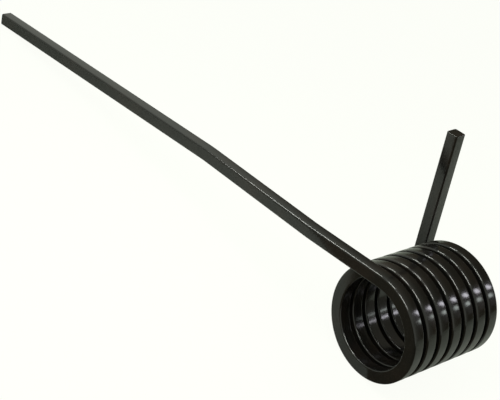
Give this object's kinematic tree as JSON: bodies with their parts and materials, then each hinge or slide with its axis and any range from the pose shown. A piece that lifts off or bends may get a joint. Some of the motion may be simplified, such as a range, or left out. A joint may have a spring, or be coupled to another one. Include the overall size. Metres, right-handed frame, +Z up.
{
  "type": "torsion spring",
  "caption": "Torsion spring of square black-coated wire: an open right-hand coil with a long tangent arm at one end and a short leg at right angles at the other.",
  "frame": {"origin": "on the coil's axis, halfway along the winding", "axes": "+Y along the coil's axis from the long arm's end to the short leg's end; +Z up with the spring lying on its coil and on the tip of the long arm, which points towards -X"},
  "size_m": [0.4765, 0.1179, 0.147],
  "materials": {
    "coated_steel": "glossy black coating"
  },
  "bodies": {
    "root": {"spring_wire": "coated_steel"}
  },
  "joints": []
}
